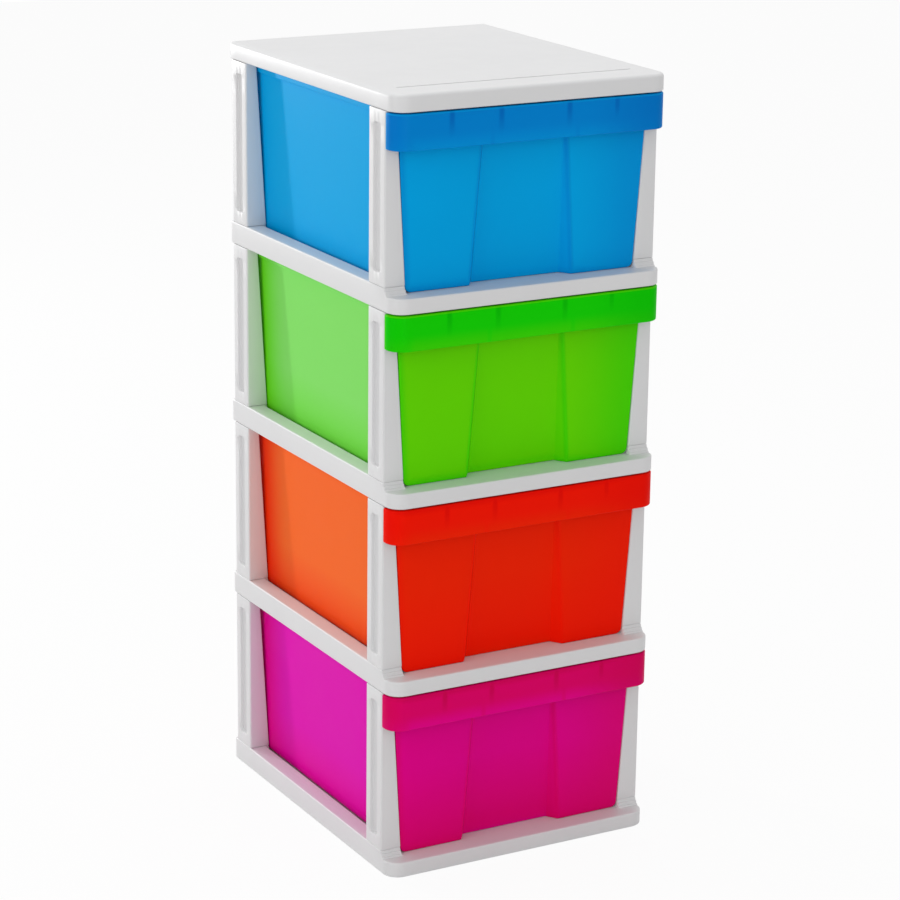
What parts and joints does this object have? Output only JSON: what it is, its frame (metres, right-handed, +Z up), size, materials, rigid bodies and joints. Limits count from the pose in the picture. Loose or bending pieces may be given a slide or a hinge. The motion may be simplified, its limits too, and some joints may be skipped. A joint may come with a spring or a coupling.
{
  "type": "plastic drawer unit",
  "caption": "Tall white plastic drawer tower on corner posts, with see-through coloured tub drawers that slide out by a downturned handle band.",
  "frame": {"origin": "centre of the footprint, on the floor", "axes": "+Z up, the drawers' fronts face -Y, +X to the right seen from the front"},
  "size_m": [0.31, 0.374, 0.81],
  "materials": {
    "white_plastic": "satin moulded polypropylene",
    "tinted_magenta": "translucent satin",
    "tinted_orange": "translucent satin",
    "tinted_green": "translucent satin",
    "tinted_blue": "translucent satin"
  },
  "bodies": {
    "frame": {"base_plate": "white_plastic", "shelf_lower": "white_plastic", "shelf_middle": "white_plastic", "shelf_upper": "white_plastic", "top_panel": "white_plastic", "post_level1_front_left": "white_plastic", "post_level1_front_right": "white_plastic", "post_level1_rear_left": "white_plastic", "post_level1_rear_right": "white_plastic", "post_level2_front_left": "white_plastic", "post_level2_front_right": "white_plastic", "post_level2_rear_left": "white_plastic", "post_level2_rear_right": "white_plastic", "post_level3_front_left": "white_plastic", "post_level3_front_right": "white_plastic", "post_level3_rear_left": "white_plastic", "post_level3_rear_right": "white_plastic", "post_level4_front_left": "white_plastic", "post_level4_front_right": "white_plastic", "post_level4_rear_left": "white_plastic", "post_level4_rear_right": "white_plastic"},
    "drawer_magenta": {"drawer_magenta": "tinted_magenta"},
    "drawer_orange": {"drawer_orange": "tinted_orange"},
    "drawer_green": {"drawer_green": "tinted_green"},
    "drawer_blue": {"drawer_blue": "tinted_blue"}
  },
  "joints": [
    {"name": "slide_magenta", "type": "slide", "parent": "frame", "child": "drawer_magenta", "axis": [0, -1, 0], "range_m": [0, 0.28]},
    {"name": "slide_orange", "type": "slide", "parent": "frame", "child": "drawer_orange", "axis": [0, -1, 0], "range_m": [0, 0.28]},
    {"name": "slide_green", "type": "slide", "parent": "frame", "child": "drawer_green", "axis": [0, -1, 0], "range_m": [0, 0.28]},
    {"name": "slide_blue", "type": "slide", "parent": "frame", "child": "drawer_blue", "axis": [0, -1, 0], "range_m": [0, 0.28]}
  ]
}
